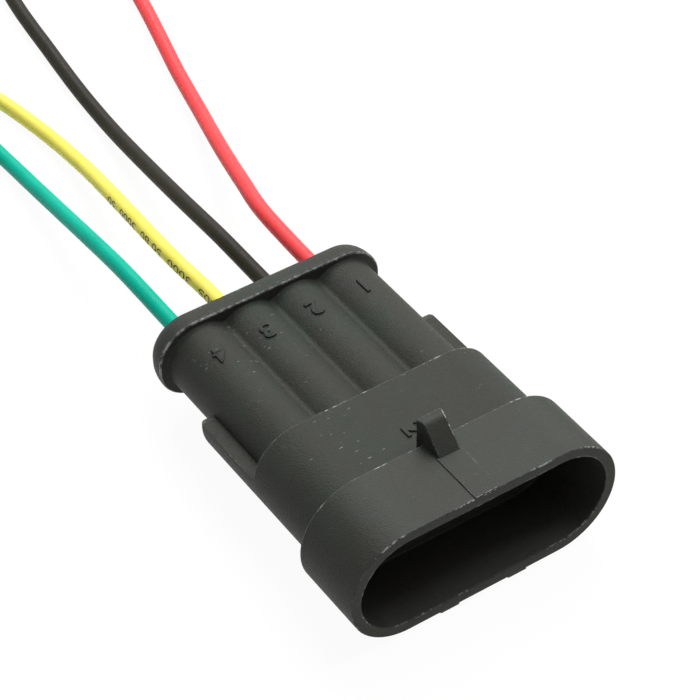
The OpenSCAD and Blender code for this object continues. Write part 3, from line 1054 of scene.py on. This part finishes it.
@dataclass
class Fittings:
    """What stands on the housing: latch ramp, keels, clip rails, and the lock plate's guides."""

    ramp_half: float = 1.3
    ramp_flare: float = 0.25
    ramp_rear: float = 10.2
    ramp_flat: float = 1.1
    ramp_sides: tuple[Point3, ...] = (
        (6.4, 6.4, 7.2), (8.1, 6.2, 8.87), (8.75, 5.6, 9.5), (8.95, 5.3, 9.67), (9.2, 5.2, 9.8),
        (9.45, 5.2, 9.85), (10.2, 5.2, 9.85))
    strip_half: float = 1.5
    strip_along: Span = (0.03, 6.6)
    strip_up: Span = (6.5, 7.2)
    keel_x: float = 4.22
    keel_width: float = 2.35
    keel_along: Span = (0.2, 9.2)
    keel_up: Span = (-MOUTH_HEIGHT / 2 - KEEL_DROP, -6.4)
    rail_top: float = 0.55
    rail_along: Span = (20.0, 30.6)
    rail_round: float = 0.55
    rail_steps: int = 16
    inner: float = 9.0
    end_centre: float = 9.3
    end_radius: float = 5.55
    guide_rear: float = 16.7
    rib: tuple[Span, float, Span] = ((-6.48, -5.78), 13.55, (-1.67, 1.48))
    post: tuple[Span, float, Span] = ((-0.4, 0.4), 14.9, (-0.48, 0.82))
    key_radius: float = 0.475
    key_crown: float = -2.875
    key_foot: float = -4.3
    key_front: float = 8.9
    finger_width: float = 1.6
    finger: tuple[Point2, ...] = (
        (16.7, 1.2), (24.3, 1.2), (24.3, 0.5), (25.5, 1.2), (25.5, 1.8), (16.7, 1.8))

    def _softened(self, maker: Maker, width: float, segments: int = 2, turn: float = 30.0,
                  crease: float = 32.0) -> bpy.types.Object:
        """Makes a piece, rounds its edges and dresses it as the housing.

        Args:
            maker: The piece's faces.
            width: Width of the rounding, in millimetres.
            segments: Strips across the rounding.
            turn: Angle in degrees above which an edge is rounded.
            crease: Angle in degrees above which an edge stays sharp.

        Returns:
            The piece.
        """
        piece = modified(maker.object(), "BEVEL", width=width * MM, segments=segments, limit_method="ANGLE",
                         angle_limit=math.radians(turn))
        return dressed(piece, Finish.HOUSING, crease)

    def ramp(self) -> bpy.types.Object:
        """Ramp that the other half's latch rides over and hooks behind, flared toward its catching face.

        Returns:
            The ramp.
        """
        maker = Maker("latch_ramp")
        rings = []
        for y, low, high in self.ramp_sides:
            flare = max(0.0, 1.0 - (self.ramp_rear - y) / self.ramp_flat) * self.ramp_flare
            half = self.ramp_half + flare
            rings.append([DATUM.place(x, y, z) for x, z in
                          ((-half, low), (half, low), (half, high), (-half, high))])
        maker.skin(rings)
        return self._softened(maker, 0.16, 3, crease=50.0)

    def low_strip(self) -> bpy.types.Object:
        """Low strip that runs under the ramp to the rim.

        Returns:
            The strip.
        """
        maker = Maker("latch_strip")
        maker.box(*zip((-self.strip_half, self.strip_half), self.strip_along, self.strip_up, strict=True))
        return self._softened(maker, 0.05)

    def keels(self) -> bpy.types.Object:
        """The two keels on which the connector stands.

        Returns:
            Both keels as one piece.
        """
        maker = Maker("keels")
        for x in (-self.keel_x, self.keel_x):
            across = (x - self.keel_width / 2, x + self.keel_width / 2)
            maker.box(*zip(across, self.keel_along, self.keel_up, strict=True))
        return self._softened(maker, 0.12, 3)

    def _rail_section(self, radius: float) -> list[Point2]:
        """Section of one rail with a flat top.

        Args:
            radius: Radius of its round side.

        Returns:
            The points across and up from the axis.
        """
        start = math.asin(self.rail_top / radius)
        points = [(self.inner, self.rail_top)]
        for k in range(self.rail_steps + 1):
            angle = start - (start + math.pi / 2) * k / self.rail_steps
            points.append((self.end_centre + radius * math.cos(angle), radius * math.sin(angle)))
        return [*points, (self.inner, -radius)]

    def rails(self) -> bpy.types.Object:
        """Rails beside the outer barrels, with a rounded rear corner.

        Returns:
            Both rails as one piece.
        """
        maker = Maker("clip_rails")
        front, rear = self.rail_along
        ends = [(front, self.end_radius)]
        for i in range(6):
            angle = math.pi / 2 * i / 5
            ends.append((rear - self.rail_round * (1 - math.sin(angle)),
                         self.end_radius - self.rail_round * (1 - math.cos(angle))))
        for side in (-1, 1):
            maker.skin([DATUM.place(side * x, y, z) for x, z in self._rail_section(radius)]
                       for y, radius in ends)
        return self._softened(maker, 0.1, turn=40.0)

    def guides(self) -> bpy.types.Object:
        """Rib, post and key that guide the lock plate, and the fingers that hold the contacts.

        Returns:
            All of them as one piece.
        """
        maker = Maker("pocket_guides")
        for across, front, up in (self.rib, self.post):
            maker.box(*zip(across, (front, self.guide_rear), up, strict=True))
        key = [(PITCH + self.key_radius, self.key_foot)]
        for k in range(11):
            angle = math.pi * k / 10
            key.append((PITCH + self.key_radius * math.cos(angle),
                        self.key_crown + self.key_radius * math.sin(angle)))
        key.append((PITCH - self.key_radius, self.key_foot))
        maker.prism([DATUM.place(x, self.key_front, z) for x, z in key],
                    Vector((0.0, (self.guide_rear - self.key_front) * MM, 0.0)))
        for x in CIRCUITS:
            maker.prism([DATUM.place(x - self.finger_width / 2, y, z) for y, z in self.finger],
                        Vector((self.finger_width * MM, 0.0, 0.0)))
        return self._softened(maker, 0.06, turn=40.0)


# ---------------------------------------- leads


@dataclass
class Lead:
    """One wire: insulation along its resting route and the stripped strands at its end."""

    name: str
    finish: Finish
    circuit: float
    route: Sequence[Point3]
    numbers: str = ""
    diameter: float = 1.9
    core: float = 0.95
    strip: float = 5.0
    rear: float = LENGTH / 2
    axis_z: float = DATUM.axis_z
    buried: float = 13.0
    straight: float = 5.0
    overlap: float = 1.0
    tip_gap: float = 0.06
    strand_pack: float = 0.97
    strand_points: int = 14
    strand_sides: int = 8
    ink_lift: float = 0.004
    digit_middle: float = 0.36

    def _points(self) -> list[Vector]:
        """Points along the wire, in the part's frame and millimetres, on a smooth line through its knots.

        Returns:
            The points, from inside the housing to the cut.
        """
        x, rear, z = self.circuit, self.rear, self.axis_z
        knots = [Vector((x, rear, z)), Vector((x, rear + self.straight, z))]
        knots += [Vector((a, b + rear, c)) for a, b, c in self.route]
        points = [Vector((x, rear - self.buried * share, z)) for share in (1.0, 0.66, 0.33)]
        last = len(knots) - 1
        for i in range(last):
            a, b, c, d = knots[max(i - 1, 0)], knots[i], knots[i + 1], knots[min(i + 2, last)]
            for t in (0.0, 0.5):
                points.append(0.5 * (2 * b + (c - a) * t + (2 * a - 5 * b + 4 * c - d) * t * t
                                     + (3 * b - a - 3 * c + d) * t * t * t))
        points.append(knots[-1])
        return points

    def _curve(self, name: str) -> bpy.types.Curve:
        """Smooth centre line of the wire.

        Args:
            name: Name of the curve.

        Returns:
            The curve, in metres.
        """
        data = bpy.data.curves.new(name, "CURVE")
        data.dimensions = "3D"
        data.resolution_u = 5
        points = self._points()
        line = data.splines.new("BEZIER")
        line.bezier_points.add(len(points) - 1)
        for knot, point in zip(line.bezier_points, points, strict=True):
            knot.co = point * MM
            knot.handle_left_type = knot.handle_right_type = "AUTO"
        return data

    def _strands(self, cut: Vector, ahead: Vector) -> bpy.types.Object:
        """Twisted strands that leave the insulation.

        Args:
            cut: Where the insulation ends.
            ahead: Direction of the wire there.

        Returns:
            The strands.
        """
        strand = self.core / 10
        made = Pattern("strands_" + self.name, {
            "Length": (self.strip + self.overlap - self.tip_gap) * MM, "Strand radius": strand * MM,
            "Ring spacing": 2 * strand * MM, "Twist": 900.0,
        }, Finish.STRANDS)
        join = made.node("GeometryNodeJoinGeometry")
        for ring in (1, 2):
            radius = made.given("Ring spacing") * (self.strand_pack * ring)
            circle = made.result("GeometryNodeMeshCircle", {"Vertices": 6 * ring, "Radius": radius})
            made.fill(join, {0: circle})
        made.fill(join, {0: made.result("GeometryNodeMeshLine", {"Count": 1})})
        end = made.result("ShaderNodeCombineXYZ", {"Z": made.given("Length")})
        line = made.result("GeometryNodeCurvePrimitiveLine", {"End": end})
        fine = made.result("GeometryNodeResampleCurve", {"Curve": line, "Count": self.strand_points})
        rows = made.result("GeometryNodeInstanceOnPoints", {"Points": join.outputs[0], "Instance": fine})
        loose = made.result("GeometryNodeRealizeInstances", {0: rows})
        here = made.result("GeometryNodeInputPosition")
        angle = made.split(here)[2] * made.given("Twist")
        turn = made.result("ShaderNodeVectorRotate", {"Vector": here, "Angle": angle}, rotation_type="Z_AXIS")
        laid = made.result("GeometryNodeSetPosition", {"Geometry": loose, "Position": turn})
        section = made.result("GeometryNodeCurvePrimitiveCircle", {
            "Resolution": self.strand_sides, "Radius": made.given("Strand radius")})
        piece = made.run(made.result("GeometryNodeCurveToMesh", {
            "Curve": laid, "Profile Curve": section, "Fill Caps": True}))
        turn_to = ahead.to_track_quat("Z", "Y").to_matrix().to_4x4()
        piece.data.transform(Matrix.Translation((cut - self.overlap * ahead) * MM) @ turn_to)
        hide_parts("bare_end_" + self.name)
        return dressed(piece, Finish.STRANDS, crease=50.0)

    def _print(self) -> bpy.types.Object:
        """Row of small numerals printed along the insulation, wrapped round it.

        Returns:
            The print.
        """
        made = Pattern("print_" + self.name, {
            "Size": 1.3 * MM, "Radius": (self.diameter / 2 + self.ink_lift) * MM, "Start": 13.6 * MM,
            "Side": 2.95, "Stretch": 1.9,
        }, Finish.INK)
        size, radius = made.given("Size"), made.given("Radius")
        words = made.result("GeometryNodeStringToCurves", {"String": self.numbers, "Size": size})
        real = made.result("GeometryNodeRealizeInstances", {0: words})
        flat = made.result("GeometryNodeFillCurve", {"Curve": real})
        x, y, _ = made.split(made.result("GeometryNodeInputPosition"))
        angle = (y - size * self.digit_middle) / radius + made.given("Side")
        far = x * made.given("Stretch") + made.given("Start")
        spot = made.node("GeometryNodeSampleCurve", {"Curves": made.given("Geometry"), "Length": far},
                         mode="LENGTH", use_all_curves=False).outputs
        sideways = made.vector("NORMALIZE", made.vector("CROSS_PRODUCT", spot["Tangent"], (0.0, 0.0, 1.0)))
        upward = made.vector("CROSS_PRODUCT", sideways, spot["Tangent"])
        out = made.vector("ADD", made.scaled(sideways, angle.maths("COSINE")),
                          made.scaled(upward, angle.maths("SINE")))
        place = made.vector("ADD", spot["Position"], made.scaled(out, radius))
        laid = made.result("GeometryNodeSetPosition", {"Geometry": flat, "Position": place})
        return dressed(made.run(laid, self._curve("print_path")), Finish.INK)

    def build(self) -> None:
        data = self._curve("lead_" + self.name)
        data.bevel_depth = self.diameter / 2 * MM
        data.bevel_resolution = 6
        data.use_fill_caps = True
        data.materials.append(self.finish.material)
        piece = placed("lead_" + self.name, data)
        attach(piece, "connector")
        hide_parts("wire_" + self.name)
        points = self._points()
        with_pieces = [self._strands(points[-1], (points[-1] - points[-2]).normalized())]
        if self.numbers:
            with_pieces.append(self._print())
        length = sum((b - a).length for a, b in zip(points, points[1:], strict=False))
        self.axis_z * MM
        log.info("%s: %.1f mm of insulation", piece.name, length)


LEADS = (
    Lead("red", Finish.RED, 9.0, (
        (9.6, 14, 7.2), (11, 20, 6.2), (13.8, 30, 4), (16.8, 40, 2), (19.4, 50, 1.1),
        (21.8, 59, 1), (24.2, 69, 1), (26, 80, 1), (27, 92, 1))),
    Lead("black", Finish.BLACK, 3.0, (
        (3.2, 13, 7.3), (3.9, 22, 5.8), (5.2, 33, 3.4), (6.4, 44, 1.5), (7.3, 54, 1),
        (8.4, 64, 1), (9.6, 74, 1), (11.6, 84, 1), (14, 93.5, 1))),
    Lead("yellow", Finish.YELLOW, -3.0, (
        (-3.2, 12, 7.4), (-2.7, 19, 6.4), (-1.6, 28, 4.5), (-0.6, 37, 2.6), (-0.3, 45, 1.3),
        (-0.8, 51, 1), (-1.8, 57, 1), (-4.4, 69, 1), (-6, 81, 1), (-6.4, 93.5, 1)),
        "0 805  3000  50 80  3000  50"),
    Lead("green", Finish.GREEN, -9.0, (
        (-8.8, 14, 7.2), (-8.4, 22, 5.9), (-7.7, 31, 3.8), (-7.1, 40, 1.9), (-7, 47, 1.1),
        (-7.6, 56, 1), (-9.8, 67, 1), (-13, 80, 1), (-16.6, 93, 1))),
)


# ---------------------------------------- inner parts


@dataclass
class InnerParts:
    """The pieces whose solids already have the right shape: lock plate, contacts, seals and cores."""

    plate_edge: float = 0.07
    metal_edge: float = 0.04

    def _finish(self, node: str, finish: Finish, edge: float) -> None:
        """Dresses one solid and softens its edges.

        Args:
            node: The solid's name.
            finish: Its finish.
            edge: Width of its softened edges, or 0.
        """
        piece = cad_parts[node]
        piece.data.materials.clear()
        piece.data.materials.append(finish.material)
        if edge:
            weld = piece.modifiers.new("weld", "WELD")
            weld.merge_threshold = 0.002 * MM
            bevel = piece.modifiers.new("bevel", "BEVEL")
            bevel.width, bevel.segments = edge * MM, 2
            bevel.limit_method, bevel.angle_limit = "ANGLE", math.radians(35)
            bevel.harden_normals = True
        log.info("%s keeps its solid", node)

    def build(self) -> None:
        """Dresses them all."""
        self._finish("secondary_lock", Finish.LOCK, self.plate_edge)
        for i in range(len(CIRCUITS)):
            self._finish(f"tab_contact_{i + 1}", Finish.TIN, self.metal_edge)
            self._finish(f"wire_seal_{i + 1}", Finish.SEAL, 0.0)
        for lead in LEADS:
            self._finish("crimped_core_" + lead.name, Finish.STRANDS, 0.0)


# ---------------------------------------- studio


@dataclass
class Studio:
    """Camera, floor, world and lamps."""

    azimuth: float = -33.117
    elevation: float = 42.868
    roll: float = -1.241
    lens: float = 134.0
    stand: Point3 = (-108.142, -162.831, 199.009)
    sky: tuple[float, float, float, float] = (0.35, 0.95, 0.01, 0.7)
    brightest: Point3 = (0.25, 0.15, 0.95)
    floor_half: float = 3.0
    floor_glow: float = 0.95
    lamp_side: float = 0.6
    lamps: tuple[tuple[str, Point3, float], ...] = (
        ("softbox_back", (0.4, 0.65, 0.75), 9.2), ("softbox_top", (0.4, 0.0, 0.88), 6.5))

    def camera(self) -> None:
        """Sets up the camera."""
        turn, rise, roll = (math.radians(a) for a in (self.azimuth, self.elevation, self.roll))
        back = Vector((math.sin(turn) * math.cos(rise), -math.cos(turn) * math.cos(rise), math.sin(rise)))
        right = (-back).cross(Vector((0.0, 0.0, 1.0))).normalized()
        up = right.cross(-back)
        across = math.cos(roll) * right + math.sin(roll) * up
        above = math.cos(roll) * up - math.sin(roll) * right
        data = bpy.data.cameras.new("camera")
        data.lens, data.sensor_width = self.lens, 36.0
        data.clip_start, data.clip_end = 0.01, 20.0
        made = placed("camera", data)
        made.matrix_world = (Matrix.Translation(Vector(self.stand) * MM)
                             @ Matrix((across, above, back)).transposed().to_4x4())
        bpy.context.scene.camera = made

    def floor(self) -> None:
        """Lays a white floor that keeps a faint shadow."""
        half = self.floor_half
        data = bpy.data.meshes.new("floor")
        data.from_pydata([(-half, -half, 0.0), (half, -half, 0.0), (half, half, 0.0), (-half, half, 0.0)],
                         [], [(0, 1, 2, 3)])
        shader = Shader("floor")
        shader.set({"Base Color": (0.95, 0.95, 0.95), "Roughness": 0.9, "Specular IOR Level": 0.0})
        share = shader.direct().remap(0.0, 1.0, 0.0, self.floor_glow)
        glow = shader.result("ShaderNodeEmission", {"Color": WHITE, "Strength": 1.0})
        both = shader.result("ShaderNodeMixShader", {0: share, 1: shader.surface.outputs[0], 2: glow})
        shader.fill(shader.output, {"Surface": both})
        data.materials.append(shader.material)
        placed("floor", data)

    def world(self) -> None:
        """White surroundings that light the object from above and are dim at the horizon."""
        made = bpy.data.worlds.new("surroundings")
        bpy.context.scene.world = made
        made.use_nodes = True
        tree = Tree(made.node_tree)
        way = tree.result("ShaderNodeTexCoord", output="Generated")
        aim = tree.result("ShaderNodeVectorMath", {0: way, 1: self.brightest}, "Value",
                          operation="DOT_PRODUCT")
        lit = tree.result("ShaderNodeBackground", {"Color": WHITE, "Strength": aim.remap(*self.sky)})
        seen = tree.result("ShaderNodeBackground", {"Color": WHITE})
        both = tree.result("ShaderNodeMixShader", {0: tree.direct(), 1: lit, 2: seen})
        tree.node("ShaderNodeOutputWorld", {"Surface": both})

    def lamp(self, name: str, place: Point3, power: float) -> None:
        """Hangs one square softbox aimed at the connector.

        Args:
            name: Its name.
            place: Where it hangs, in metres.
            power: Its power, in watts.
        """
        data = bpy.data.lights.new(name, "AREA")
        data.shape, data.size, data.energy = "SQUARE", self.lamp_side, power
        turn = Vector(place).to_track_quat("Z", "Y").to_matrix().to_4x4()
        placed(name, data).matrix_world = Matrix.Translation(place) @ turn

    def build(self) -> None:
        """Sets everything up."""
        self.camera()
        self.floor()
        self.world()
        for name, place, power in self.lamps:
            self.lamp(name, place, power)
        bpy.context.scene.view_settings.view_transform = "Standard"
        log.info("studio ready")


def main() -> None:
    """Builds the connector in its studio."""
    logging.basicConfig(level=logging.INFO, format="%(name)s: %(message)s")
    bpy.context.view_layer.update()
    Studio().build()
    for lead in LEADS:
        lead.build()
    Housing().build()
    fittings = Fittings()
    for build in (fittings.ramp, fittings.low_strip, fittings.keels, fittings.rails, fittings.guides,
                  RaisedNumbers().build):
        build()
    InnerParts().build()


if __name__ == "__main__":
    main()
